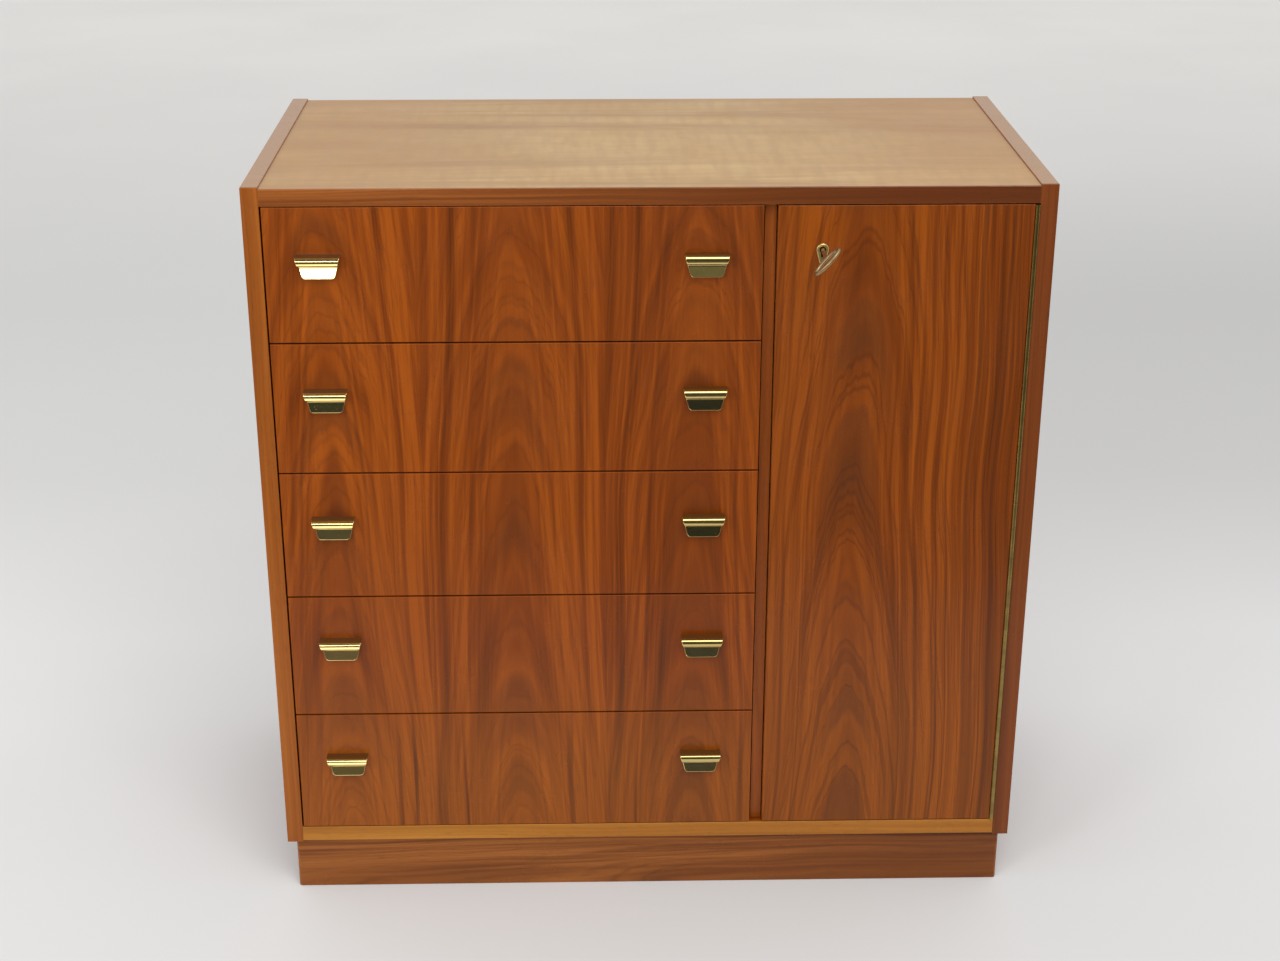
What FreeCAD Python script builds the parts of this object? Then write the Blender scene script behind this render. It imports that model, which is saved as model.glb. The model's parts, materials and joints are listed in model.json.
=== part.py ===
import FreeCAD, Part
import math
import os
import re
import Sketcher

# A chest of drawers with a cupboard at its right: a case on a plinth, five drawers hung on side
# runners, a door on a full-height strip hinge and a lock with its key. Millimetres, +Z up,
# the front towards -Y, the origin on the floor under the middle of the whole outline.

# Driving dimensions
sizes = {
    # case
    "case_width": 914,
    "case_depth": 457,
    "case_height": 914,
    "panel": 19.8,
    "lipping": 3,
    "side_rise": 2,
    "bottom_rise": 2,
    "arris": 0.8,
    "tongue_length": 8,
    "tongue_thickness": 8,
    "tongue_stop": 25,
    "back_thickness": 6,
    "back_inset": 2,
    "back_lap": 9,
    "back_fit": 0.4,
    # plinth
    "plinth_height": 69,
    "plinth_setback": 6.5,
    "plinth_inset": 10,
    "plinth_board": 18,
    "plinth_corner": 4,
    "plinth_back_setback": 25,
    "block_leg": 55,
    # divider between drawers and cupboard
    "divider_centre": 135.4,
    "divider_thickness": 13,
    "divider_setback": 12.5,
    "divider_housing": 6,
    # drawers
    "drawer_count": 5,
    "drawer_gap": 2,
    "end_gap": 1,
    "front_thickness": 19,
    "drawer_depth": 420,
    "drawer_side": 13,
    "drawer_side_lift": 5,
    "drawer_side_drop": 23.68,
    "drawer_back": 12,
    "drawer_back_housing": 4,
    "drawer_back_inset": 16,
    "drawer_bottom": 5,
    "drawer_bottom_lift": 9,
    "drawer_bottom_groove": 6,
    "drawer_bottom_fit": 0.3,
    # half-blind dovetails
    "tail_count": 4,
    "tail_lap": 6,
    "pin_width": 8.5,
    "tail_flare": 2.6,
    # side runners
    "runner_height": 16,
    "runner_groove": 7,
    "runner_clearance": 0.3,
    "runner_lift": 58,
    "runner_start": 24,
    "runner_length": 400,
    # lip pulls
    "pull_width": 51.5,
    "pull_foot_width": 37,
    "pull_height": 27,
    "pull_reach": 15,
    "pull_nose": 12,
    "pull_nose_round": 5.7,
    "pull_neck": 4.2,
    "pull_foot": 8.5,
    "pull_hollow": 2.5,
    "pull_corner": 5,
    "pull_arris": 0.7,
    "pull_inset_left": 60.8,
    "pull_inset_right": 63.6,
    "pull_drop": 54,
    # door and strip hinge
    "door_gap": 1.3,
    "door_thickness": 19,
    "hinge_radius": 2.7,
    "hinge_sheet": 0.9,
    "hinge_leaf": 17,
    "hinge_proud": 0.6,
    "hinge_clearance": 0.4,
    "pin_clearance": 0.05,
    "knuckle_count": 11,
    "knuckle_gap": 0.3,
    # lock, key and escutcheon
    "key_backset": 50.6,
    "key_drop": 52.2,
    "key_angle": 48,
    "key_reach": 62,
    "key_shank": 2.3,
    "key_collar": 3.4,
    "key_collar_length": 5,
    "bow_half_width": 18.8,
    "bow_half_depth": 10,
    "bow_stock": 2.2,
    "bit_reach": 8,
    "bit_thickness": 2.5,
    "bit_length": 7,
    "bit_clearance": 1,
    "keyhole_radius": 3.8,
    "keyhole_slot": 3.4,
    "keyhole_tail": 9,
    "escutcheon_radius": 7.2,
    "escutcheon_foot": 4,
    "escutcheon_tail": 13,
    "escutcheon_thickness": 2,
    "escutcheon_round": 1.7,
    "lock_width": 70,
    "lock_height": 50,
    "lock_thickness": 12,
    "lock_below_key": 22,
    "lock_cover": 3,
    "bolt_length": 64,
    "bolt_thickness": 6,
    "bolt_height": 12,
    "bolt_throw": 7,
    "bolt_above_key": 4.5,
    "bolt_behind_door": 2,
    "bolt_shy": 0.3,
    "bolt_clearance": 0.3,
    "talon_half": 3.6,
    "talon_depth": 5,
    "strike_thickness": 1.2,
    "strike_width": 16,
    "strike_margin": 9,
    "mortise_depth": 8,
    # cupboard shelves and pegs
    "shelf_thickness": 16,
    "shelf_setback": 45,
    "shelf_gap": 1,
    "lower_shelf_height": 262,
    "upper_shelf_height": 530,
    "peg_radius": 2.5,
    "peg_depth": 8,
    "peg_tongue": 14,
    "peg_tongue_width": 9,
    "peg_tongue_thickness": 2,
    "peg_inset": 50,
}

# Places that follow from the driving dimensions, in the order that they need each other
places = {
    "front_y": "-(case_depth - key_reach)/2",
    "half_width": "case_width/2",
    "inner_half": "case_width/2 - panel",
    "side_height": "case_height + side_rise - plinth_height",
    "floor_under": "plinth_height + bottom_rise",
    "floor_top": "floor_under + panel",
    "roof_under": "case_height - panel",
    "opening_height": "roof_under - floor_top",
    "back_face": "case_depth - back_inset - back_thickness",
    "divider_left": "divider_centre - divider_thickness/2",
    "divider_right": "divider_centre + divider_thickness/2",
    "drawer_left": "drawer_gap - inner_half",
    "drawer_width": "divider_left - drawer_gap - drawer_left",
    "front_height": "(opening_height - 2*end_gap - (drawer_count - 1)*drawer_gap)/drawer_count",
    "drawer_pitch": "front_height + drawer_gap",
    "drawer_side_height": "front_height - drawer_side_lift - drawer_side_drop",
    "tail_pitch": "drawer_side_height/tail_count",
    "tail_tip": "tail_pitch - pin_width",
    "bottom_z": "drawer_side_lift + drawer_bottom_lift",
    "drawer_back_y": "drawer_depth - drawer_back_inset - drawer_back",
    "runner_width": "drawer_gap + runner_groove - runner_clearance",
    "runner_z": "drawer_side_lift + runner_lift",
    "door_left": "divider_right + door_gap",
    "door_right": "inner_half - 2*hinge_radius",
    "door_width": "door_right - door_left",
    "door_foot": "floor_top + door_gap",
    "door_height": "opening_height - 2*door_gap",
    "knuckle_pitch": "door_height/knuckle_count",
    "hinge_bore": "hinge_radius - hinge_sheet",
    "key_x": "door_left + key_backset",
    "key_z": "roof_under - key_drop",
    "bolt_z": "key_z + bolt_above_key",
    "bolt_y": "door_thickness + bolt_behind_door",
    "shelf_left": "divider_right + shelf_gap",
    "shelf_width": "inner_half - divider_right - 2*shelf_gap",
    "shelf_depth": "back_face - shelf_setback - shelf_gap",
}


def tied(text, own=""):
    # Puts the sheet's name before each named size, apart from names in the sheet itself.
    def named(match):
        word = match.group()
        if word in sizes:
            return "size." + word
        if word in places and own != "layout":
            return "layout." + word
        return word
    return re.sub(r"[a-z][a-z_]*", named, text)


def fill_sheet(name, cells):
    sheet = doc.addObject("Spreadsheet::Sheet", name)
    for row, (word, content) in enumerate(cells.items(), start=1):
        sheet.set(f"A{row}", word)
        sheet.set(f"B{row}", content)
        sheet.setAlias(f"B{row}", word)
    doc.recompute()
    return sheet


doc = FreeCAD.newDocument("chest")
fill_sheet("size", {word: str(value) for word, value in sizes.items()})
layout_sheet = fill_sheet("layout", {word: "=" + tied(rule, "layout") for word, rule in places.items()})
pieces = []


def tie(item, path, text):
    item.setExpression(path, tied(text))


def place(item, x, y, z):
    # y counts from the front plane of the case, towards the back.
    tie(item, "Placement.Base.x", x)
    tie(item, "Placement.Base.y", f"front_y + ({y})")
    tie(item, "Placement.Base.z", z)


def keep(item, label):
    item.Label = label
    pieces.append(item)
    return item


def origin_part(body, role):
    for feature in body.Origin.OriginFeatures:
        if feature.Role == role:
            return feature
    raise ValueError(role)


def new_sketch(body, plane, offset="0"):
    sketch = body.newObject("Sketcher::SketchObject", "sketch")
    sketch.AttachmentSupport = (origin_part(body, plane), [""])
    sketch.MapMode = "FlatFace"
    tie(sketch, "AttachmentOffset.Base.z", offset)
    return sketch


def pin_point(sketch, line, end, x, y):
    # Holds one end of a line at (x, y), each an expression that is never negative.
    point = sketch.getPoint(line, end)
    for text, kind, axis, now in ((x, "DistanceX", -2, point.x), (y, "DistanceY", -1, point.y)):
        if text == "0":
            sketch.addConstraint(Sketcher.Constraint("PointOnObject", line, end, axis))
        else:
            held = sketch.addConstraint(Sketcher.Constraint(kind, -1, 1, line, end, now))
            tie(sketch, f"Constraints[{held}]", text)


def outline(sketch, corners):
    # A closed run of straight lines; they start round a circle, and the pins then move each corner.
    count = len(corners)
    turns = [2*math.pi*step/count for step in range(count)]
    spread = [FreeCAD.Vector(2 + math.cos(turn), 2 + math.sin(turn), 0)*50 for turn in turns]
    lines = [sketch.addGeometry(Part.LineSegment(spread[step], spread[(step + 1) % count]), False)
             for step in range(count)]
    for step in range(count):
        after = lines[(step + 1) % count]
        sketch.addConstraint(Sketcher.Constraint("Coincident", lines[step], 2, after, 1))
    for line, (x, y) in zip(lines, corners):
        pin_point(sketch, line, 1, x, y)


def pad(body, sketch, length):
    feature = body.newObject("PartDesign::Pad", "pad")
    feature.Profile = sketch
    tie(feature, "Length", length)
    return feature


def pocket_through(body, sketch):
    feature = body.newObject("PartDesign::Pocket", "pocket")
    feature.Profile = sketch
    feature.Type = "ThroughAll"
    return feature


def box_feature(body, kind, corner, extent):
    feature = body.newObject(kind, "block")
    feature.AttachmentSupport = (origin_part(body, "XY_Plane"), [""])
    feature.MapMode = "FlatFace"
    for axis, start in zip("xyz", corner):
        tie(feature, f"AttachmentOffset.Base.{axis}", start)
    for side, length in zip(("Length", "Width", "Height"), extent):
        tie(feature, side, length)
    return feature


def cut_box(body, corner, extent):
    return box_feature(body, "PartDesign::SubtractiveBox", corner, extent)


def add_box(body, corner, extent):
    return box_feature(body, "PartDesign::AdditiveBox", corner, extent)


def cut_round(body, plane, corner, radius, length):
    # A round hole along the plane's normal; corner is given in the plane's own directions.
    feature = body.newObject("PartDesign::SubtractiveCylinder", "bore")
    feature.AttachmentSupport = (origin_part(body, plane), [""])
    feature.MapMode = "FlatFace"
    for axis, start in zip("xyz", corner):
        tie(feature, f"AttachmentOffset.Base.{axis}", start)
    tie(feature, "Radius", radius)
    tie(feature, "Height", length)
    return feature


def round_edges(body, radius, chosen):
    doc.recompute()
    base = body.Tip
    names = [f"Edge{number}" for number, edge in enumerate(base.Shape.Edges, start=1) if chosen(edge)]
    if not names:
        raise ValueError(f"no edge to round on {body.Label}")
    feature = body.newObject("PartDesign::Fillet", "eased")
    feature.Base = (base, names)
    tie(feature, "Radius", radius)
    return feature


def board(label, extent, at):
    # A rectangular board whose own origin is its lower left front corner.
    wide, deep, tall = extent
    body = doc.addObject("PartDesign::Body", label)
    plan = new_sketch(body, "XY_Plane")
    outline(plan, [("0", "0"), (wide, "0"), (wide, deep), ("0", deep)])
    pad(body, plan, tall)
    place(body, *at)
    return keep(body, label)


def on_plane(edge, axis, value):
    # True for an edge that lies wholly in the plane where this coordinate has this value.
    low = getattr(edge.BoundBox, axis + "Min")
    high = getattr(edge.BoundBox, axis + "Max")
    return abs(low - value) < 1e-4 and abs(high - value) < 1e-4


def group(label, members):
    for member in members:
        pieces.remove(member)
    bundle = doc.addObject("Part::Compound", label)
    bundle.Links = members
    return keep(bundle, label)


# Case
def side_panel(label, at_x, groove_x, rebate_x):
    # The lipping is a piece of its own, so the panel starts behind it.
    body = board(label, ("panel", "case_depth - lipping", "side_height"), (at_x, "lipping", "plinth_height"))
    for middle in ("case_height - panel/2", "floor_under + panel/2"):
        cut_box(body, (groove_x, "tongue_stop - lipping", f"{middle} - tongue_thickness/2 - plinth_height"),
                ("tongue_length", "back_face - tongue_stop", "tongue_thickness"))
    cut_box(body, (rebate_x, "back_face - lipping", "floor_top - back_lap - plinth_height"),
            ("back_lap", "case_depth - back_face", "opening_height + 2*back_lap"))
    round_edges(body, "arris", lambda edge: on_plane(edge, "Z", side_top) and edge.BoundBox.YLength > 1)
    return body


def front_lipping(label, extent, at, top=None):
    # The front arrises are eased, and the upper ones too where the lipping ends in the air.
    body = board(label, extent, at)
    round_edges(body, "arris", lambda edge: on_plane(edge, "Y", 0)
                or (top is not None and on_plane(edge, "Z", top) and edge.BoundBox.YLength > 1))
    return body


def cross_panel(label, at_z, housing_z, rebate_z):
    # Top or bottom: tongues into the sides, a housing for the divider, a rebate for the back.
    body = board(label, ("2*inner_half", "case_depth - lipping", "panel"), ("-inner_half", "lipping", at_z))
    for tongue_x in ("-tongue_length", "2*inner_half"):
        add_box(body, (tongue_x, "tongue_stop - lipping", "(panel - tongue_thickness)/2"),
                ("tongue_length", "back_face - tongue_stop", "tongue_thickness"))
    cut_box(body, ("divider_left + inner_half", "divider_setback - lipping", housing_z),
            ("divider_thickness", "back_face - divider_setback", "divider_housing"))
    cut_box(body, ("0", "back_face - lipping", rebate_z),
            ("2*inner_half", "case_depth - back_face", "back_lap"))
    return body


def centre_divider():
    foot = "floor_top - divider_housing"
    body = board("centre_divider", ("divider_thickness", "back_face - divider_setback",
                 "opening_height + 2*divider_housing"), ("divider_left", "divider_setback", foot))
    strike_y = "bolt_y + bolt_thickness/2 - strike_width/2 - divider_setback"
    cut_box(body, ("divider_thickness - strike_thickness", strike_y, f"bolt_z - strike_margin - ({foot})"),
            ("strike_thickness", "strike_width", "bolt_height + 2*strike_margin"))
    cut_box(body, ("divider_thickness - mortise_depth", "bolt_y - bolt_clearance - divider_setback",
            f"bolt_z - bolt_clearance - ({foot})"),
            ("mortise_depth", "bolt_thickness + 2*bolt_clearance", "bolt_height + 2*bolt_clearance"))
    for row in peg_rows:
        for height in peg_heights:
            cut_round(body, "YZ_Plane", (f"{row} - divider_setback", f"{height} - ({foot})",
                      "divider_thickness - peg_depth"), "peg_radius", "peg_depth")
    return body


def plinth():
    wide = "case_width - 2*plinth_inset"
    left = "plinth_inset - half_width"
    behind = "plinth_setback + plinth_board"
    back_y = "case_depth - plinth_back_setback - plinth_board"
    front = board("plinth_front", (wide, "plinth_board", "plinth_height"), (left, "plinth_setback", "0"))
    round_edges(front, "plinth_corner", lambda edge: on_plane(edge, "Y", 0) and edge.BoundBox.ZLength > 1
                and edge.BoundBox.XLength < 1)
    board("plinth_back", (wide, "plinth_board", "plinth_height"), (left, back_y, "0"))
    board("plinth_left", ("plinth_board", f"{back_y} - ({behind})", "plinth_height"), (left, behind, "0"))
    board("plinth_right", ("plinth_board", f"{back_y} - ({behind})", "plinth_height"),
          ("half_width - plinth_inset - plinth_board", behind, "0"))
    blocks = []
    inner_x = "half_width - plinth_inset - plinth_board"
    corners = ((f"-({inner_x})", behind), (inner_x, behind), (inner_x, back_y), (f"-({inner_x})", back_y))
    for quarter, (x, y) in enumerate(corners):
        block = doc.addObject("PartDesign::Body", "corner_block")
        plan = new_sketch(block, "XY_Plane")
        outline(plan, [("0", "0"), ("block_leg", "0"), ("0", "block_leg")])
        pad(block, plan, "floor_under")
        block.Placement = FreeCAD.Placement(FreeCAD.Vector(), FreeCAD.Rotation(up, 90*quarter))
        place(block, x, y, "0")
        blocks.append(keep(block, f"corner_block_{quarter + 1}"))
    group("plinth_corner_blocks", blocks)


def shelf_peg(label, x, y, z, turn):
    # A round peg with a flat tongue level with its top, which the shelf lies on.
    body = doc.addObject("PartDesign::Body", label)
    shank = body.newObject("PartDesign::AdditiveCylinder", "shank")
    shank.AttachmentSupport = (origin_part(body, "YZ_Plane"), [""])
    shank.MapMode = "FlatFace"
    tie(shank, "Radius", "peg_radius")
    tie(shank, "Height", "peg_depth + shelf_gap")
    add_box(body, ("peg_depth", "-peg_tongue_width/2", "peg_radius - peg_tongue_thickness"),
            ("peg_tongue", "peg_tongue_width", "peg_tongue_thickness"))
    body.Placement = FreeCAD.Placement(FreeCAD.Vector(), FreeCAD.Rotation(up, turn))
    place(body, x, y, z)
    return keep(body, label)


def cupboard():
    extent = ("shelf_width", "shelf_depth", "shelf_thickness")
    for level in ("lower", "upper"):
        board(f"{level}_shelf", extent, ("shelf_left", "shelf_setback", f"floor_top + {level}_shelf_height"))
    pegs = []
    for row in peg_rows:
        for height in peg_heights:
            number = len(pegs) + 1
            pegs.append(shelf_peg(f"peg_{number}", "divider_right - peg_depth", row, height, 0))
            pegs.append(shelf_peg(f"peg_{number + 1}", "inner_half + peg_depth", row, height, 180))
    group("shelf_pegs", pegs)


def case():
    side_panel("left_side_panel", "-half_width", "panel - tongue_length", "panel - back_lap")
    right = side_panel("right_side_panel", "inner_half", "0", "0")
    for row in peg_rows:
        for height in peg_heights:
            cut_round(right, "YZ_Plane", (f"{row} - lipping", f"{height} - plinth_height", "0"),
                      "peg_radius", "peg_depth")
    upright = ("panel", "lipping", "side_height")
    front_lipping("left_side_lipping", upright, ("-half_width", "0", "plinth_height"), side_top)
    front_lipping("right_side_lipping", upright, ("inner_half", "0", "plinth_height"), side_top)
    cross_panel("top_panel", "roof_under", "0", "0")
    cross_panel("bottom_panel", "floor_under", "panel - divider_housing", "panel - back_lap")
    level = ("2*inner_half", "lipping", "panel")
    front_lipping("top_lipping", level, ("-inner_half", "0", "roof_under"))
    front_lipping("bottom_lipping", level, ("-inner_half", "0", "floor_under"))
    centre_divider()
    board("back_panel", ("2*(inner_half + back_lap - back_fit)", "back_thickness",
          "opening_height + 2*(back_lap - back_fit)"),
          ("back_fit - back_lap - inner_half", "back_face", "floor_top - back_lap + back_fit"))


# Drawers
def drawer_foot(number):
    # The lowest line of a drawer front; drawer 1 is the top one.
    return f"(floor_top + end_gap + (drawer_count - {number})*drawer_pitch)"


def runners(label, x):
    bars = []
    for number in drawer_numbers:
        bars.append(board(f"{label}_{number}", ("runner_width", "runner_length", "runner_height"),
                          (x, "runner_start", f"{drawer_foot(number)} + runner_z + runner_clearance")))
    group(label, bars)


def drawer_side(label, number, x, outer_x, groove_x, housing_x):
    # The outline has the dovetails at its front end; the grooves are for runner, bottom and back.
    low = "drawer_side_lift"
    high = "drawer_side_lift + drawer_side_height"
    corners = [("drawer_depth", low), ("drawer_depth", high), ("front_thickness", high)]
    for tail in reversed(range(sizes["tail_count"])):
        middle = f"{low} + ({tail} + 0.5)*tail_pitch"
        corners += [("front_thickness", f"{middle} + tail_tip/2 - tail_flare"),
                    ("tail_lap", f"{middle} + tail_tip/2"),
                    ("tail_lap", f"{middle} - tail_tip/2"),
                    ("front_thickness", f"{middle} - tail_tip/2 + tail_flare")]
    corners.append(("front_thickness", low))
    body = doc.addObject("PartDesign::Body", label)
    profile = new_sketch(body, "YZ_Plane")
    outline(profile, corners)
    pad(body, profile, "drawer_side")
    groove_y = "runner_start - drawer_gap"
    cut_box(body, (outer_x, groove_y, "runner_z"),
            ("runner_groove", f"drawer_depth - ({groove_y})", "runner_height + 2*runner_clearance"))
    cut_box(body, (groove_x, "front_thickness - drawer_bottom_groove", "bottom_z"),
            ("drawer_bottom_groove", "drawer_depth", "drawer_bottom"))
    cut_box(body, (housing_x, "drawer_back_y", "bottom_z + drawer_bottom"),
            ("drawer_back_housing", "drawer_back", "drawer_side_height"))
    place(body, x, "0", drawer_foot(number))
    return keep(body, label)


def pull(label, number, x):
    # Flat top and half-round nose over a hollow for the fingertips; the face below leans out to its foot.
    body = doc.addObject("PartDesign::Body", label)
    profile = new_sketch(body, "YZ_Plane")
    nose_foot = "pull_height - pull_nose"
    outline(profile, [("pull_reach - pull_foot", "0"), ("pull_reach", "0"), ("pull_reach", "pull_height"),
                      ("0", "pull_height"), ("0", nose_foot), ("pull_reach - pull_neck", nose_foot)])
    pad(body, profile, "pull_width")
    slant = "(pull_width - pull_foot_width)/2"
    for corners in ([("0", "0"), (slant, "0"), ("0", "pull_height")],
                    [("pull_width", "0"), ("pull_width", "pull_height"), (f"pull_width - {slant}", "0")]):
        side = new_sketch(body, "XZ_Plane")
        outline(side, corners)
        pocket_through(body, side)
    neck_y, foot_y = (sizes["pull_reach"] - sizes[name] for name in ("pull_neck", "pull_foot"))
    round_edges(body, "pull_nose_round", lambda edge: on_plane(edge, "Y", 0) and edge.BoundBox.ZLength < 1)
    round_edges(body, "pull_hollow", lambda edge: on_plane(edge, "Y", neck_y))
    round_edges(body, "pull_corner", lambda edge: on_plane(edge, "Z", 0) and edge.BoundBox.XLength < 1)
    round_edges(body, "pull_arris", lambda edge: on_plane(edge, "Y", foot_y))
    place(body, x, "-pull_reach", f"{drawer_foot(number)} + front_height - pull_drop - pull_height")
    return keep(body, label)


def drawer(number):
    name = f"drawer_{number}"
    foot = drawer_foot(number)
    blank = board(f"{name}_front_blank", ("drawer_width", "front_thickness", "front_height"),
                  ("drawer_left", "0", foot))
    pieces.remove(blank)
    groove_x = "(drawer_side - drawer_bottom_groove)"
    cut_box(blank, (groove_x, "front_thickness - drawer_bottom_groove", "bottom_z"),
            (f"drawer_width - 2*{groove_x}", "drawer_bottom_groove", "drawer_bottom"))
    round_edges(blank, "arris", lambda edge: on_plane(edge, "Y", 0))
    left = drawer_side(f"{name}_left_side", number, "drawer_left", "0", groove_x,
                       "drawer_side - drawer_back_housing")
    right = drawer_side(f"{name}_right_side", number, "drawer_left + drawer_width - drawer_side",
                        "drawer_side - runner_groove", "0", "0")
    front = blank
    for side in (left, right):
        socketed = doc.addObject("Part::Cut", "socketed")
        socketed.Base = front
        socketed.Tool = side
        front = socketed
    keep(front, f"{name}_front")
    board(f"{name}_back", ("drawer_width - 2*(drawer_side - drawer_back_housing)", "drawer_back",
          "drawer_side_height - drawer_bottom_lift - drawer_bottom"),
          ("drawer_left + drawer_side - drawer_back_housing", "drawer_back_y",
           f"{foot} + bottom_z + drawer_bottom"))
    inset = f"({groove_x} + drawer_bottom_fit)"
    start = "(front_thickness - drawer_bottom_groove + drawer_bottom_fit)"
    board(f"{name}_bottom", (f"drawer_width - 2*{inset}", f"drawer_back_y + drawer_back - {start}",
          "drawer_bottom"), (f"drawer_left + {inset}", start, f"{foot} + bottom_z"))
    left_pull = pull(f"{name}_pull_left", number, "drawer_left + pull_inset_left - pull_width/2")
    right_pull = pull(f"{name}_pull_right", number,
                      "drawer_left + drawer_width - pull_inset_right - pull_width/2")
    group(f"{name}_pulls", [left_pull, right_pull])


# Door, strip hinge and lock
def hinge_leaf(label, leaf_x, first, count):
    # A flat leaf with every second knuckle; the knuckles of the two leaves take turns on one pin.
    body = doc.addObject("PartDesign::Body", label)
    plan = new_sketch(body, "XY_Plane")
    near = "2*hinge_radius + hinge_clearance"
    far_x = f"{leaf_x} + hinge_sheet"
    outline(plan, [(leaf_x, near), (far_x, near), (far_x, "hinge_leaf"), (leaf_x, "hinge_leaf")])
    pad(body, plan, "door_height")
    start = f"{first}*knuckle_pitch + knuckle_gap/2"
    length = "knuckle_pitch - knuckle_gap"
    neck = add_box(body, (leaf_x, "hinge_radius", start),
                   ("hinge_sheet", "hinge_radius + hinge_clearance", length))
    ring = new_sketch(body, "XY_Plane", start)
    middle = FreeCAD.Vector(sizes["hinge_radius"], sizes["hinge_radius"], 0)
    for rule in ("hinge_radius", "hinge_bore"):
        circle = ring.addGeometry(Part.Circle(middle, up, 1), False)
        pin_point(ring, circle, 3, "hinge_radius", "hinge_radius")
        held = ring.addConstraint(Sketcher.Constraint("Radius", circle, 1))
        tie(ring, f"Constraints[{held}]", rule)
    knuckle = pad(body, ring, length)
    doc.recompute()
    row = body.newObject("PartDesign::LinearPattern", "knuckles")
    row.Originals = [neck, knuckle]
    row.Direction = (origin_part(body, "Z_Axis"), [""])
    tie(row, "Length", f"{2*(count - 1)}*knuckle_pitch")
    row.Occurrences = count
    body.Tip = row
    place(body, "door_right", "-hinge_proud - hinge_radius", "door_foot")
    return keep(body, label)


def strip_hinge():
    knuckles = sizes["knuckle_count"]
    hinge_leaf("hinge_case_leaf", "2*hinge_radius - hinge_sheet", 0, (knuckles + 1)//2)
    hinge_leaf("hinge_door_leaf", "0", 1, knuckles//2)
    pin = doc.addObject("Part::Cylinder", "hinge_pin")
    tie(pin, "Radius", "hinge_bore - pin_clearance")
    tie(pin, "Height", "door_height")
    place(pin, "door_right + hinge_radius", "-hinge_proud", "door_foot")
    keep(pin, "hinge_pin")


def cut_keyhole(body, x, y, z, depth):
    # A round hole with a slot below it, for shank and bit; y is the hole's front.
    cut_round(body, "XZ_Plane", (x, z, f"-({y}) - ({depth})"), "keyhole_radius", depth)
    cut_box(body, (f"{x} - keyhole_slot/2", y, f"{z} - keyhole_tail"),
            ("keyhole_slot", depth, "keyhole_tail"))


def door():
    panel = board("door_panel", ("door_width", "door_thickness", "door_height"),
                  ("door_left", "0", "door_foot"))
    round_edges(panel, "arris", lambda edge: on_plane(edge, "Y", 0))
    cut_keyhole(panel, "key_backset", "0", "key_z - door_foot", "door_thickness")


def escutcheon():
    # A domed plate round the keyhole: a large round above, a small one below, joined by tangents.
    body = doc.addObject("PartDesign::Body", "escutcheon")
    face = new_sketch(body, "XZ_Plane")
    large, small, drop = sizes["escutcheon_radius"], sizes["escutcheon_foot"], sizes["escutcheon_tail"]
    lean = math.asin((large - small)/drop)
    rounds = []
    for radius, height, begin, end in ((large, small + drop, lean, math.pi - lean),
                                       (small, small, math.pi - lean, 2*math.pi + lean)):
        circle = Part.Circle(FreeCAD.Vector(large, height, 0), up, radius)
        rounds.append(face.addGeometry(Part.ArcOfCircle(circle, begin, end), False))
    head, tail = rounds
    for head_end, tail_end in ((2, 1), (1, 2)):
        above, below = face.getPoint(head, head_end), face.getPoint(tail, tail_end)
        line = face.addGeometry(Part.LineSegment(above, below))
        face.addConstraint(Sketcher.Constraint("Tangent", head, head_end, line, 1))
        face.addConstraint(Sketcher.Constraint("Tangent", line, 2, tail, tail_end))
    for arc, height, rule in ((head, "escutcheon_foot + escutcheon_tail", "escutcheon_radius"),
                              (tail, "escutcheon_foot", "escutcheon_foot")):
        pin_point(face, arc, 3, "escutcheon_radius", height)
        held = face.addConstraint(Sketcher.Constraint("Radius", arc, face.Geometry[arc].Radius))
        tie(face, f"Constraints[{held}]", rule)
    pad(body, face, "escutcheon_thickness")
    round_edges(body, "escutcheon_round", lambda edge: on_plane(edge, "Y", -sizes["escutcheon_thickness"]))
    cut_keyhole(body, "escutcheon_radius", "-escutcheon_thickness", "escutcheon_foot + escutcheon_tail",
                "escutcheon_thickness")
    place(body, "key_x - escutcheon_radius", "0", "key_z - escutcheon_foot - escutcheon_tail")
    keep(body, "keyhole_escutcheon")


def lock():
    body = board("lock_case", ("lock_width", "lock_thickness", "lock_height"),
                 ("door_left", "door_thickness", "key_z - lock_below_key"))
    cavity = "lock_thickness - lock_cover"
    channel = ("bolt_thickness + 2*bolt_clearance", "bolt_height + 2*bolt_clearance")
    cut_box(body, ("0", "bolt_behind_door - bolt_clearance",
            "lock_below_key + bolt_above_key - bolt_clearance"), ("bolt_length + 2*bolt_shy", *channel))
    cut_round(body, "XZ_Plane", ("key_backset", "lock_below_key", f"-({cavity})"),
              "bit_reach + bit_clearance", cavity)
    cut_round(body, "XZ_Plane", ("key_backset", "lock_below_key", "-lock_thickness"),
              "key_shank + pin_clearance", "lock_cover")
    bolt = board("lock_bolt", ("bolt_length", "bolt_thickness", "bolt_height"),
                 ("door_left + bolt_shy", "bolt_y", "bolt_z"))
    cut_box(bolt, ("key_backset - bolt_shy + bolt_throw/2 - talon_half", "0", "0"),
            ("2*talon_half", "bolt_thickness", "talon_depth"))
    strike = board("lock_strike", ("strike_thickness", "strike_width", "bolt_height + 2*strike_margin"),
                   ("divider_right - strike_thickness", "bolt_y + (bolt_thickness - strike_width)/2",
                    "bolt_z - strike_margin"))
    cut_box(strike, ("0", "(strike_width - bolt_thickness)/2 - bolt_clearance",
            "strike_margin - bolt_clearance"), ("strike_thickness", *channel))


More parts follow.
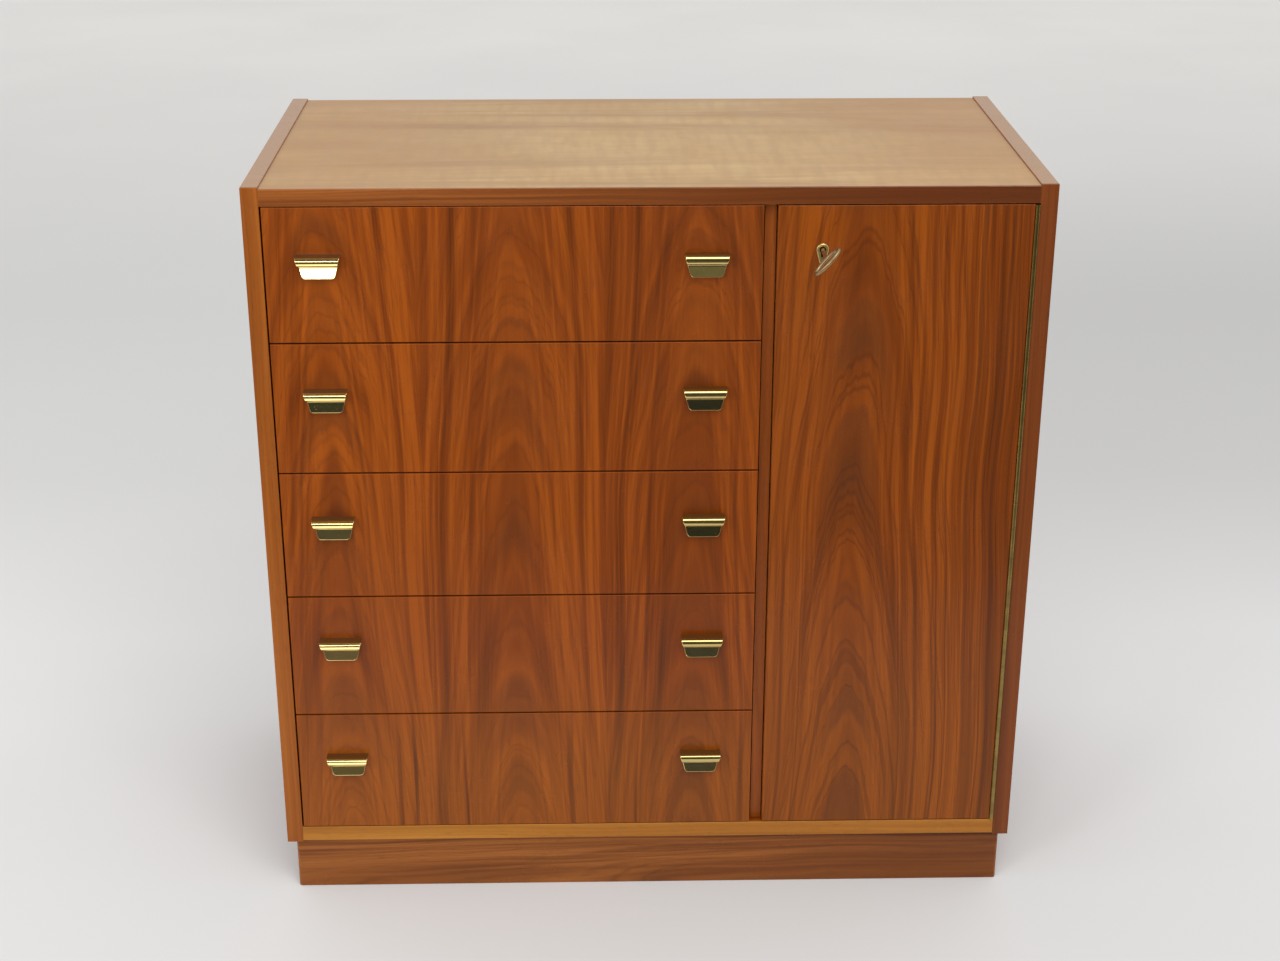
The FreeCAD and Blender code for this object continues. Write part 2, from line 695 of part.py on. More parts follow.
def round_bar(name, radius, start, end):
    # A round bar along Y from one place to another.
    bar = doc.addObject("Part::Cylinder", name)
    bar.Placement = FreeCAD.Placement(FreeCAD.Vector(), FreeCAD.Rotation(FreeCAD.Vector(1, 0, 0), -90))
    tie(bar, "Radius", radius)
    tie(bar, "Height", f"{end} - ({start})")
    tie(bar, "Placement.Base.y", start)
    return bar


def key():
    # Shank along Y with y = 0 at the case's front plane; bow and bit lie in one plane.
    bow_middle = "bow_half_depth + bow_stock - key_reach"
    bow_end = f"{bow_middle} + bow_half_depth"
    loop = doc.addObject("Part::Ellipse", "bow_line")
    tie(loop, "MajorRadius", "bow_half_width")
    tie(loop, "MinorRadius", "bow_half_depth")
    tie(loop, "Placement.Base.y", bow_middle)
    stock = doc.addObject("Part::Circle", "bow_stock_round")
    tie(stock, "Radius", "bow_stock")
    stock.Placement = FreeCAD.Placement(FreeCAD.Vector(), FreeCAD.Rotation(FreeCAD.Vector(1, 0, 0), 90))
    tie(stock, "Placement.Base.x", "bow_half_width")
    tie(stock, "Placement.Base.y", bow_middle)
    bow = doc.addObject("Part::Sweep", "bow")
    bow.Sections = [stock]
    bow.Spine = (loop, ["Edge1"])
    bow.Solid = True
    shank = round_bar("shank", "key_shank", bow_end, "door_thickness + lock_thickness - bolt_clearance")
    collar = round_bar("collar", "key_collar", bow_end, f"{bow_end} + key_collar_length")
    bit = doc.addObject("Part::Box", "bit")
    tie(bit, "Length", "bit_reach")
    tie(bit, "Width", "bit_length")
    tie(bit, "Height", "bit_thickness")
    tie(bit, "Placement.Base.y", "bolt_y - (bit_length - bolt_thickness)/2")
    tie(bit, "Placement.Base.z", "-bit_thickness/2")
    whole = doc.addObject("Part::MultiFuse", "key")
    whole.Shapes = [bow, collar, shank, bit]
    whole.Placement = FreeCAD.Placement(FreeCAD.Vector(), FreeCAD.Rotation(FreeCAD.Vector(0, -1, 0), 1))
    tie(whole, "Placement.Rotation.Angle", "key_angle")
    place(whole, "key_x", "0", "key_z")
    keep(whole, "key")


def check_and_write():
    doc.recompute()
    for item in doc.Objects:
        if "Invalid" in item.State or "Error" in item.State:
            raise RuntimeError(f"{item.Label} failed: {item.State}")
    for piece in pieces:
        if piece.Shape.isNull() or not piece.Shape.isValid() or not piece.Shape.Solids:
            raise RuntimeError(f"{piece.Label} has no valid solid")
    os.makedirs("parts", exist_ok=True)
    for piece in pieces:
        piece.Shape.exportStep(f"parts/{piece.Label}.step")
        print(piece.Label, len(piece.Shape.Solids), round(piece.Shape.Volume))


up = FreeCAD.Vector(0, 0, 1)
side_top = layout_sheet.get("side_height")
drawer_numbers = range(1, sizes["drawer_count"] + 1)
peg_rows = ("shelf_setback + peg_inset", "back_face - shelf_gap - peg_inset")
peg_heights = ("floor_top + lower_shelf_height - peg_radius", "floor_top + upper_shelf_height - peg_radius")

case()
plinth()
cupboard()
runners("left_drawer_runners", "-inner_half")
runners("right_drawer_runners", "divider_left - runner_width")
for drawer_number in drawer_numbers:
    drawer(drawer_number)
door()
strip_hinge()
escutcheon()
lock()
key()
check_and_write()
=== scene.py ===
import json
import math
import bpy
from mathutils import Matrix, Vector

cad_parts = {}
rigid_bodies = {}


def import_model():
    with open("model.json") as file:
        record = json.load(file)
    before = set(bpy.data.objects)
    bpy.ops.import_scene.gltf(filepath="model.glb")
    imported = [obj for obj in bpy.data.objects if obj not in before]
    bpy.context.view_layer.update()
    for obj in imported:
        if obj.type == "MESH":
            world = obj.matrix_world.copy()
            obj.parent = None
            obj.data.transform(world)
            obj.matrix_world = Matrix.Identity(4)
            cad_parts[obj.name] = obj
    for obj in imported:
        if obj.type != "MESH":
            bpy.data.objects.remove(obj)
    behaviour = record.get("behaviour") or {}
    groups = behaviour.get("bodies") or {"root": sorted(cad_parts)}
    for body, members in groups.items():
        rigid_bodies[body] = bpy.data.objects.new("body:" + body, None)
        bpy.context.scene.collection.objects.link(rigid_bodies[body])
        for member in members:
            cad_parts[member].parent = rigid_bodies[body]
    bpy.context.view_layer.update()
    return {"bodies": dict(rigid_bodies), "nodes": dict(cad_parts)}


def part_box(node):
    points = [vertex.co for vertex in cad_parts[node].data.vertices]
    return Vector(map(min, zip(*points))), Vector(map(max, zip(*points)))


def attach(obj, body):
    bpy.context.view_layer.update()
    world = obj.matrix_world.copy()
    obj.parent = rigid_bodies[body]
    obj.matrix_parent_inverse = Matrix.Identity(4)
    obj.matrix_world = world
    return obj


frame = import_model()
nodes = frame["nodes"]
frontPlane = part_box("left_side_lipping")[0].y
drawerNames = [body for body in frame["bodies"] if body.startswith("drawer_")]
print("frame:", len(nodes), "nodes,", len(drawerNames), "drawers")


# Small helpers for node trees
def srgb(red, green, blue):
    # colours are written 0 to 255 as they look, and sockets want linear light
    def linear(level):
        level /= 255
        return level / 12.92 if level <= 0.04045 else ((level + 0.055) / 1.055) ** 2.4
    return (linear(red), linear(green), linear(blue), 1)


def feed(tree, socket, value):
    if isinstance(value, bpy.types.NodeSocket):
        tree.links.new(value, socket)
    else:
        socket.default_value = value


def calc(tree, operation, *values):
    node = tree.nodes.new("ShaderNodeMath")
    node.operation = operation
    for socket, value in zip(node.inputs, values):
        feed(tree, socket, value)
    return node.outputs[0]


def fit(tree, value, low, high, newLow=0.0, newHigh=1.0):
    node = tree.nodes.new("ShaderNodeMapRange")
    node.interpolation_type = "SMOOTHSTEP"
    for socket, term in zip(node.inputs, (value, low, high, newLow, newHigh)):
        feed(tree, socket, term)
    return node.outputs[0]


def swing(tree, value, size):
    # noise keeps near its middle, so it is spread to both sides of zero
    return fit(tree, value, 0.2, 0.8, -size, size)


def combine(tree, x, y, z):
    node = tree.nodes.new("ShaderNodeCombineXYZ")
    for socket, term in zip(node.inputs, (x, y, z)):
        feed(tree, socket, term)
    return node.outputs[0]


def separate(tree, vector):
    node = tree.nodes.new("ShaderNodeSeparateXYZ")
    feed(tree, node.inputs[0], vector)
    return node.outputs


def noise(tree, vector, scale=1.0, detail=2.0, roughness=0.5):
    node = tree.nodes.new("ShaderNodeTexNoise")
    feed(tree, node.inputs["Vector"], vector)
    feed(tree, node.inputs["Scale"], scale)
    feed(tree, node.inputs["Detail"], detail)
    feed(tree, node.inputs["Roughness"], roughness)
    return node.outputs["Fac"]


def mixColour(tree, share, first, second):
    node = tree.nodes.new("ShaderNodeMix")
    node.data_type = "RGBA"
    for place, value in ((0, share), (6, first), (7, second)):  # the sockets of a colour mix
        feed(tree, node.inputs[place], value)
    return node.outputs[2]


def ramp(tree, value, stops):
    node = tree.nodes.new("ShaderNodeValToRGB")
    feed(tree, node.inputs[0], value)
    elements = node.color_ramp.elements
    while len(elements) < len(stops):
        elements.new(0.5)
    for element, (place, colour) in zip(elements, stops):
        element.position = place
        element.color = srgb(*colour)
    return node.outputs[0]


def coordinates(tree, kind):
    return tree.nodes.new("ShaderNodeTexCoord").outputs[kind]


def newGroup(name, inputs, outputs):
    # an input without a value is a vector, and all the others are plain values
    tree = bpy.data.node_groups.new(name, "ShaderNodeTree")
    for title, value in inputs.items():
        kind = "NodeSocketVector" if value is None else "NodeSocketFloat"
        socket = tree.interface.new_socket(name=title, in_out="INPUT", socket_type=kind)
        if value is not None:
            socket.default_value = value
    for title in outputs:
        tree.interface.new_socket(name=title, in_out="OUTPUT", socket_type="NodeSocketFloat")
    start = tree.nodes.new("NodeGroupInput").outputs
    end = tree.nodes.new("NodeGroupOutput").inputs
    return tree, start, end


def useGroup(tree, group, **values):
    node = tree.nodes.new("ShaderNodeGroup")
    node.node_tree = group
    for title, value in values.items():
        feed(tree, node.inputs[title], value)
    return node.outputs


def newMaterial(name):
    material = bpy.data.materials.new(name)
    material.use_nodes = True
    tree = material.node_tree
    return material, tree, tree.nodes["Principled BSDF"]


def bump(tree, shader, height, strength, distance):
    node = tree.nodes.new("ShaderNodeBump")
    node.inputs["Strength"].default_value = strength
    node.inputs["Distance"].default_value = distance
    feed(tree, node.inputs["Height"], height)
    tree.links.new(node.outputs[0], shader.inputs["Normal"])


# Small helpers for objects
def addObject(name, data):
    thing = bpy.data.objects.new(name, data)
    bpy.context.scene.collection.objects.link(thing)
    return thing


def drawerParts(*endings):
    return [body + ending for body in drawerNames for ending in endings]


def dress(material, names):
    for name in names:
        mesh = nodes[name].data
        mesh.materials.clear()
        mesh.materials.append(material)


# Wood figure shared by every board: growth rings cut by the board's own plane
ringValues = {
    "leafStep": 0.13,  # neighbouring leaves are near alike
    "drift": (3.0, 2.6), "swell": (8.0, 2.4), "swellSize": 0.003,  # place in the noise and scale
    "warpSize": 0.0012, "warpAcross": 60.0, "warpAlong": 5.0,
    "slim": 0.5,  # share of the depth that makes the slimmer arches
    "streakShare": 1.15, "broadShare": 0.7, "threadShare": 0.5, "layerRoughness": 0.55,
    "cloudAcross": 4.0, "cloudAlong": 2.2, "cloudCut": (0.3, 0.7),
    "layers": {  # width in rings, change along the board, place in the noise, detail
        "rings": (1.0, 0.8, 5.0, 2), "streaks": (1.5, 0.6, 9.0, 2), "broad": (5.0, 1.1, 2.0, 1),
        "threads": (0.35, 2.4, 17.0, 1), "edges": (0.9, 0.8, 31.0, 1), "darkLines": (1.1, 0.5, 14.0, 1),
        "smoke": (2.4, 1.2, 41.0, 2), "flame": (1.7, 0.8, 23.0, 2)},
    "cuts": {  # where a layer starts to show, and where it shows in full
        "edges": (0.035, 0.0), "darkLines": (0.07, 0.24), "smoke": (0.0, 0.17), "flame": (-0.04, 0.1)},
    "zones": {  # two distances from the heart line, and the strength at each
        "steady": (0.0, 0.045, 0.35, 1.0),  # arches stay smooth at the heart
        "flank": (0.01, 0.075, 0.5, 1.0),  # rings crowd at the leaf's edge
        "calm": (0.008, 0.05, 0.45, 0.75), "leafSide": (0.042, 0.075, 0.0, 1.0),
        "inside": (0.05, 0.012, 0.0, 1.0)}}


def makeRingFigure():
    values = ringValues
    tree, start, end = newGroup("ringFigure", {
        "Across": 0.0, "Through": 0.0, "Along": 0.0, "LeafStart": 0.0, "LeafWidth": 1.0, "Heart": 0.03,
        "Taper": 0.09, "Ring": 0.005, "Wander": 0.006, "Contrast": 1.0, "LeafShift": 0.0, "Seed": 0.0},
        ["Tone", "Streak", "Core", "Line", "Smoke", "Cloud"])
    across, through, along = start["Across"], start["Through"], start["Along"]
    fromStart = calc(tree, "SUBTRACT", across, start["LeafStart"])
    leaf = calc(tree, "FLOOR", calc(tree, "DIVIDE", fromStart, start["LeafWidth"]))
    middle = calc(tree, "MULTIPLY", calc(tree, "ADD", leaf, 0.5), start["LeafWidth"])
    local = calc(tree, "SUBTRACT", fromStart, middle)
    seed = calc(tree, "MULTIPLY_ADD", leaf, values["leafStep"], start["Seed"])

    def slowly(place, scale):
        # a slow change along the board, its own in each leaf
        return noise(tree, combine(tree, along, seed, place), scale, 1)

    drift = calc(tree, "MULTIPLY", swing(tree, slowly(*values["drift"]), 1.0), start["Wander"])
    fromHeart = calc(tree, "ADD", local, drift)
    swell = swing(tree, slowly(*values["swell"]), values["swellSize"])
    depth = calc(tree, "MULTIPLY_ADD", along, start["Taper"], start["Heart"])
    depth = calc(tree, "ADD", calc(tree, "ADD", depth, through), swell)

    def away(share):
        # distance from the heart of the log; a small share makes slimmer arches
        deep = calc(tree, "MULTIPLY", depth, share)
        return calc(tree, "SQRT", calc(tree, "ADD", calc(tree, "MULTIPLY", fromHeart, fromHeart),
                                       calc(tree, "MULTIPLY", deep, deep)))

    def zone(name):
        return fit(tree, calc(tree, "ABSOLUTE", fromHeart), *values["zones"][name])

    warpSpot = combine(tree, calc(tree, "MULTIPLY", fromHeart, values["warpAcross"]),
                       calc(tree, "ADD", through, seed), calc(tree, "MULTIPLY", along, values["warpAlong"]))
    warp = swing(tree, noise(tree, warpSpot, 1.0, 2), values["warpSize"])
    warp = calc(tree, "MULTIPLY", warp, zone("steady"))

    def bands(distance, layer):
        width, slide, place, detail = values["layers"][layer]
        spot = combine(tree, calc(tree, "DIVIDE", calc(tree, "ADD", distance, warp),
                                  calc(tree, "MULTIPLY", start["Ring"], width)),
                       calc(tree, "MULTIPLY", along, slide), calc(tree, "ADD", seed, place))
        return calc(tree, "SUBTRACT", noise(tree, spot, 1.0, detail, values["layerRoughness"]), 0.5)

    def cutBands(distance, layer):
        return fit(tree, bands(distance, layer), *values["cuts"][layer])

    full, slim, flank = away(1.0), away(values["slim"]), zone("flank")
    sides = calc(tree, "MULTIPLY", bands(fromHeart, "broad"), values["broadShare"])
    sides = calc(tree, "MULTIPLY_ADD", bands(slim, "streaks"), values["streakShare"], sides)
    tone = calc(tree, "MULTIPLY_ADD", bands(full, "rings"), zone("calm"),
                calc(tree, "MULTIPLY", sides, flank))
    tone = calc(tree, "MULTIPLY_ADD", bands(slim, "threads"), values["threadShare"], tone)
    leafTone = calc(tree, "MULTIPLY_ADD", calc(tree, "SUBTRACT", 1.0, leaf), start["LeafShift"], 0.5)
    feed(tree, end["Tone"], calc(tree, "MULTIPLY_ADD", tone, start["Contrast"], leafTone))
    edge = calc(tree, "ABSOLUTE", bands(full, "edges"))
    feed(tree, end["Line"], fit(tree, edge, *values["cuts"]["edges"]))
    feed(tree, end["Streak"], calc(tree, "MULTIPLY", cutBands(slim, "darkLines"), flank))
    feed(tree, end["Smoke"], calc(tree, "MULTIPLY", cutBands(fromHeart, "smoke"), zone("leafSide")))
    feed(tree, end["Core"], calc(tree, "MULTIPLY", cutBands(full, "flame"), zone("inside")))
    cloudSpot = combine(tree, calc(tree, "MULTIPLY", across, values["cloudAcross"]),
                        calc(tree, "MULTIPLY", through, values["cloudAcross"]),
                        calc(tree, "MULTIPLY_ADD", along, values["cloudAlong"], start["Seed"]))
    feed(tree, end["Cloud"], fit(tree, noise(tree, cloudSpot, 1.0, 2), *values["cloudCut"]))
    return tree


# Open pores and flecks: short lines that lie along the grain, and longer fibres between them
poreValues = {"rarest": 0.82, "spread": 0.4, "softness": 0.08, "fibreWidth": 2.2, "fibreLength": 5.0,
              "fibrePlace": 7.0, "fibreCut": (0.3, 0.7)}


def makeGrainPores():
    tree, start, end = newGroup("grainPores", {
        "Across": 0.0, "Through": 0.0, "Along": 0.0, "Width": 0.0007, "Length": 0.03, "Share": 0.4},
        ["Pore", "Fibre"])

    def lines(width, length, place):
        spot = combine(tree, calc(tree, "DIVIDE", start["Across"], width),
                       calc(tree, "DIVIDE", start["Through"], width),
                       calc(tree, "ADD", calc(tree, "DIVIDE", start["Along"], length), place))
        return noise(tree, spot, 1.0, 1)

    common = calc(tree, "MULTIPLY", start["Share"], poreValues["spread"])
    edge = calc(tree, "SUBTRACT", poreValues["rarest"], common)
    pores = lines(start["Width"], start["Length"], 0.0)
    feed(tree, end["Pore"], fit(tree, pores, edge, calc(tree, "ADD", edge, poreValues["softness"])))
    fibres = lines(calc(tree, "MULTIPLY", start["Width"], poreValues["fibreWidth"]),
                   calc(tree, "MULTIPLY", start["Length"], poreValues["fibreLength"]),
                   poreValues["fibrePlace"])
    feed(tree, end["Fibre"], fit(tree, fibres, *poreValues["fibreCut"]))
    return tree


# Handling marks: soft cloudy patches where the finish is duller, and a fine ripple
handlingValues = {"detail": 4, "roughness": 0.6, "dullCut": (0.35, 0.7), "ripples": 9.0}


def makeHandling():
    tree, start, end = newGroup("handling", {"Vector": None, "Size": 0.08}, ["Dull", "Ripple"])
    scale = calc(tree, "DIVIDE", 1.0, start["Size"])
    patches = noise(tree, start["Vector"], scale, handlingValues["detail"], handlingValues["roughness"])
    feed(tree, end["Dull"], fit(tree, patches, *handlingValues["dullCut"]))
    fine = calc(tree, "MULTIPLY", scale, handlingValues["ripples"])
    feed(tree, end["Ripple"], noise(tree, start["Vector"], fine, 1))
    return tree


# Eased edges, whose normals lie between two faces, and the faces that look up or to a side
arrisValues = {"edge": (0.995, 0.86), "up": (0.66, 0.82), "side": (0.9, 0.97)}  # parts of the normal


def makeArris():
    tree, start, end = newGroup("arris", {"Normal": None}, ["Edge", "Up", "Side"])
    parts = separate(tree, start["Normal"])
    x, y, z = (calc(tree, "ABSOLUTE", part) for part in parts)
    most = calc(tree, "MAXIMUM", calc(tree, "MAXIMUM", x, y), z)
    feed(tree, end["Edge"], fit(tree, most, *arrisValues["edge"]))
    feed(tree, end["Up"], fit(tree, parts["Z"], *arrisValues["up"]))
    feed(tree, end["Side"], fit(tree, x, *arrisValues["side"]))
    return tree


ringFigure = makeRingFigure()
grainPores = makeGrainPores()
handling = makeHandling()
arris = makeArris()
print("shader groups: ringFigure, grainPores, handling, arris")


# One finish for all woods; the values say how the board was cut and stained, and where sheen, light and
# highlights are painted on
woodDefaults = {
    "on": (),  # the nodes that wear it
    "axes": "xyz",  # which way is across, through and along the board
    "leafStart": -5.0, "leafWidth": 10.0, "heart": 0.35, "taper": 0.02, "ring": 0.006,
    "wander": 0.004, "contrast": 0.8, "leafShift": 0.0, "seed": 1.0,
    "stops": (0.22, 0.5, 0.78), "dark": (86, 37, 8), "mid": (127, 57, 9), "light": (168, 83, 15),
    "streak": (76, 36, 14), "streakShare": 0.55, "lineShare": 0.0, "smokeShare": 0.0,
    "core": (92, 48, 20), "coreShare": 0.0, "cloud": (126, 64, 22), "cloudShare": 0.25,
    "driftFrom": 0.0, "driftTo": 1.0, "driftBothEnds": False,  # a slow change of tone along the board
    "driftColour": (90, 44, 16), "driftShare": 0.0,
    "curlAcross": 14.0, "curlAlong": 75.0, "curlCut": (0.35, 0.7),  # shimmer that crosses the grain
    "curlShare": 0.0,
    "fadeColour": (200, 150, 100), "fadeShare": 0.0,  # upper faces painted paler: a painted sheen
    "sideColour": (196, 112, 48), "sideShare": 0.0,  # lipped edges at left and right, painted lighter: their own tone with painted light in the shaded gaps beside them
    "wear": (0.25, 0.6), "wearCut": (0.3, 0.6),  # how much lighter the eased edges are: worn wood and a painted highlight
    "poreWidth": 0.0006, "poreLength": 0.022, "poreShare": 0.45, "poreDark": 0.5, "fibreShare": 0.1,
    "roughness": 0.26, "markSize": 0.09, "dulling": 0.05, "poreDulling": 0.08,
    "gloss": 0.24, "coat": 0.0, "coatRoughness": 0.35,
    "relief": 0.1, "reliefDepth": 0.0003, "poreRelief": -0.7, "fibreRelief": 0.2, "rippleRelief": 0.15}


def makeWood(name, **changes):
    wood = {**woodDefaults, **changes}
    material, tree, shader = newMaterial(name)
    spot = dict(zip("xyz", separate(tree, coordinates(tree, "Object"))))
    across, through, along = (spot[axis] for axis in wood["axes"])
    board = {"Across": across, "Through": through, "Along": along}
    figure = useGroup(tree, ringFigure, **board, LeafStart=wood["leafStart"], LeafWidth=wood["leafWidth"],
                      Heart=wood["heart"], Taper=wood["taper"], Ring=wood["ring"], Wander=wood["wander"],
                      Contrast=wood["contrast"], LeafShift=wood["leafShift"], Seed=wood["seed"])
    pores = useGroup(tree, grainPores, **board, Width=wood["poreWidth"], Length=wood["poreLength"],
                     Share=wood["poreShare"])
    marks = useGroup(tree, handling, Vector=combine(tree, across, through, along), Size=wood["markSize"])
    edges = useGroup(tree, arris, Normal=coordinates(tree, "Normal"))
    reach = calc(tree, "ABSOLUTE", along) if wood["driftBothEnds"] else along
    drift = fit(tree, reach, wood["driftFrom"], wood["driftTo"])
    smoke = calc(tree, "MULTIPLY", figure["Smoke"], drift)
    fibres = fit(tree, pores["Fibre"], 0.0, 1.0)
    curlSpot = combine(tree, calc(tree, "MULTIPLY", across, wood["curlAcross"]), through,
                       calc(tree, "MULTIPLY", along, wood["curlAlong"]))
    curl = fit(tree, noise(tree, curlSpot, 1.0, 1), *wood["curlCut"])

    # the stains, and the painted sheen, light and highlights, lie over each other in this order
    tones = (wood["dark"], wood["mid"], wood["light"])
    colour = ramp(tree, figure["Tone"], list(zip(wood["stops"], tones)))
    for mask, share, stain in (
            (figure["Cloud"], "cloudShare", "cloud"), (drift, "driftShare", "driftColour"),
            (smoke, "smokeShare", "streak"), (figure["Core"], "coreShare", "core"),
            (figure["Line"], "lineShare", "streak"), (figure["Streak"], "streakShare", "streak"),
            (fibres, "fibreShare", "dark"), (pores["Pore"], "poreDark", "streak"),
            (curl, "curlShare", "dark"), (edges["Up"], "fadeShare", "fadeColour"),
            (edges["Side"], "sideShare", "sideColour")):
        colour = mixColour(tree, calc(tree, "MULTIPLY", mask, wood[share]), colour, srgb(*wood[stain]))
    # eased edges painted lighter: wear, with a painted highlight where they catch the light
    wornAndLit = calc(tree, "MULTIPLY", edges["Edge"], fit(tree, marks["Ripple"], *wood["wearCut"], *wood["wear"]))
    colour = mixColour(tree, wornAndLit, colour, srgb(*wood["light"]))
    tree.links.new(colour, shader.inputs["Base Color"])

    cleanest = wood["roughness"] - wood["dulling"] / 2
    rough = calc(tree, "MULTIPLY_ADD", marks["Dull"], wood["dulling"], cleanest)
    rough = calc(tree, "MULTIPLY_ADD", pores["Pore"], wood["poreDulling"], rough)
    tree.links.new(rough, shader.inputs["Roughness"])
    shader.inputs["Specular IOR Level"].default_value = wood["gloss"]
    shader.inputs["Coat Weight"].default_value = wood["coat"]
    shader.inputs["Coat Roughness"].default_value = wood["coatRoughness"]
    height = calc(tree, "MULTIPLY", pores["Fibre"], wood["fibreRelief"])
    height = calc(tree, "MULTIPLY_ADD", pores["Pore"], wood["poreRelief"], height)
    height = calc(tree, "MULTIPLY_ADD", marks["Ripple"], wood["rippleRelief"], height)
    bump(tree, shader, height, wood["relief"], wood["reliefDepth"])
    dress(material, wood["on"])


# Drawer fronts: three veneer leaves side by side, the figure running on from drawer to drawer
frontVeneer = {
    "on": drawerParts("_front"), "axes": "xyz", "leafStart": -0.4795, "leafWidth": 0.2135, "heart": 0.11,
    "taper": -0.075, "ring": 0.0045, "wander": 0.006, "seed": 3.2, "contrast": 0.7, "leafShift": 0.06,
    "coreShare": 0.4, "lineShare": 0.22, "smokeShare": 0.85, "driftFrom": 0.36, "driftTo": 0.12,
    "driftColour": (160, 92, 26), "driftShare": 0.38, "stops": (0.18, 0.46, 0.68),
    "dark": (80, 34, 4), "mid": (124, 55, 4), "light": (155, 75, 8)}
makeWood("frontVeneer", **frontVeneer)

# Door: one wide leaf with its heart left of the middle
doorVeneer = {
    "on": ["door_panel"], "axes": "xyz", "leafStart": -0.262, "leafWidth": 1.0, "heart": 0.1,
    # its side faces are painted lighter, a painted light in the shaded gap at its edges
    "taper": -0.06, "ring": 0.0038, "wander": 0.01, "seed": 12.6, "contrast": 0.62, "sideShare": 0.85,
    "coreShare": 0.6, "lineShare": 0.42, "smokeShare": 0.3, "driftFrom": 0.5, "driftTo": 0.12,
    "driftColour": (154, 86, 20), "driftShare": 0.34, "stops": (0.18, 0.46, 0.68),
    "dark": (76, 33, 4), "mid": (117, 53, 4), "light": (147, 72, 8)}
makeWood("doorVeneer", **doorVeneer)

# Case: veneered boards, their solid lippings and the plinth
plinthTones = {"dark": (108, 59, 24), "mid": (136, 78, 32), "light": (154, 92, 40), "gloss": 0.22,
               "contrast": 1.7, "heart": 0.08, "ring": 0.0045, "streakShare": 0.8}
caseWoods = {
    "sideVeneer": {
        "on": ["left_side_panel", "right_side_panel"], "axes": "yxz", "leafStart": -0.44, "leafWidth": 0.29,
        "heart": 0.03, "taper": 0.07, "seed": 11.0, "wander": 0.008, "coat": 0.18, "gloss": 0.3,
        # its upper edges are painted paler, a painted sheen
        "fadeShare": 0.8, "fadeColour": (175, 134, 90)},
    # the top's pale tones are faded wood with a painted sheen laid into the colour
    "topVeneer": {
        "on": ["top_panel"], "axes": "yzx", "leafStart": -0.5, "leafWidth": 0.34, "heart": 0.06,
        "taper": 0.03, "seed": 15.0, "ring": 0.007, "contrast": 0.9, "dark": (172, 133, 86),
        "mid": (193, 156, 101), "light": (206, 171, 114), "streak": (157, 113, 74), "streakShare": 0.35,
        "driftFrom": 0.12, "driftTo": 0.4, "driftBothEnds": True, "driftColour": (178, 126, 72),
        "driftShare": 0.5, "curlShare": 0.45, "roughness": 0.42, "coat": 0.1, "coatRoughness": 0.45,
        "gloss": 0.45},
    "innerVeneer": {
        "on": ["bottom_panel", "lower_shelf", "upper_shelf"], "axes": "yzx", "heart": 0.1, "taper": 0.03,
        "seed": 19.0},
    # the divider's edge is painted lighter than its wood, a painted light against the shade of its recess
    "dividerVeneer": {
        "on": ["centre_divider"], "axes": "yxz", "heart": 0.2, "seed": 23.0, "dark": (116, 57, 16),
        "mid": (143, 73, 17), "light": (165, 89, 26)},
    # the left lipping is painted lighter than the right: the wood's own tone with painted light from the
    # left
    "leftLipping": {
        "on": ["left_side_lipping"], "axes": "xyz", "seed": 27.0, "dark": (124, 64, 18),
        "mid": (148, 80, 23), "light": (168, 98, 34), "streakShare": 0.2},
    "rightLipping": {
        "on": ["right_side_lipping"], "axes": "xyz", "seed": 31.0, "dark": (94, 46, 16),
        "mid": (115, 57, 21), "light": (132, 70, 28), "streakShare": 0.25},
    # its drift darkens it toward the right end: the board's own tone with painted shade away from the light
    # at the left
    "topLipping": {
        "on": ["top_lipping"], "axes": "zyx", "seed": 35.0, "dark": (104, 54, 20), "mid": (134, 73, 28),
        "light": (164, 96, 40), "streakShare": 0.4, "driftFrom": -0.3, "driftTo": 0.3,
        "driftColour": (84, 38, 14), "driftShare": 0.85},
    "bottomLipping": {
        "on": ["bottom_lipping"], "axes": "zyx", "seed": 39.0, "dark": (144, 87, 27),
        "mid": (167, 107, 36), "light": (186, 125, 48), "streakShare": 0.12},
    "plinthLong": {
        **plinthTones, "on": ["plinth_front", "plinth_back"], "axes": "zyx", "seed": 43.0,
        "driftFrom": 0.02, "driftTo": 0.36, "driftShare": 0.5, "smokeShare": 0.7, "lineShare": 0.3},
    "plinthShort": {
        **plinthTones, "on": ["plinth_left", "plinth_right"], "axes": "zxy", "seed": 47.0}}
for name, values in caseWoods.items():
    makeWood(name, **values)
print("walnut: fronts, door, case, lippings, plinth")

# Drawer boxes and thin boards: pale woods with a thin finish
beechTones = {"dark": (186, 142, 96), "mid": (206, 166, 120), "light": (220, 184, 140),
              "streak": (150, 104, 64), "streakShare": 0.12, "cloud": (200, 150, 104),
              "poreWidth": 0.0008, "poreLength": 0.006, "poreShare": 0.55, "poreDark": 0.28,
              "roughness": 0.55}
boardTones = {**beechTones, "dark": (176, 140, 98), "mid": (196, 160, 116), "light": (212, 180, 138),
              "ring": 0.012, "heart": 0.05, "taper": 0.05, "poreShare": 0.3}
paleWoods = {
    "beechLong": {
        **beechTones, "axes": "zxy", "seed": 51.0,
        "on": ["left_drawer_runners", "right_drawer_runners", *drawerParts("_left_side", "_right_side")]},
    "beechCross": {**beechTones, "on": drawerParts("_back"), "axes": "zyx", "seed": 55.0},
    "blockBeech": {**beechTones, "on": ["plinth_corner_blocks"], "axes": "xyz", "seed": 59.0},
    "thinBoardFlat": {**boardTones, "on": drawerParts("_bottom"), "axes": "yzx", "seed": 63.0},
    "thinBoardBack": {**boardTones, "on": ["back_panel"], "axes": "xyz", "seed": 67.0}}
for name, values in paleWoods.items():
    makeWood(name, **values)
print("pale woods: drawer boxes, runners, thin boards")


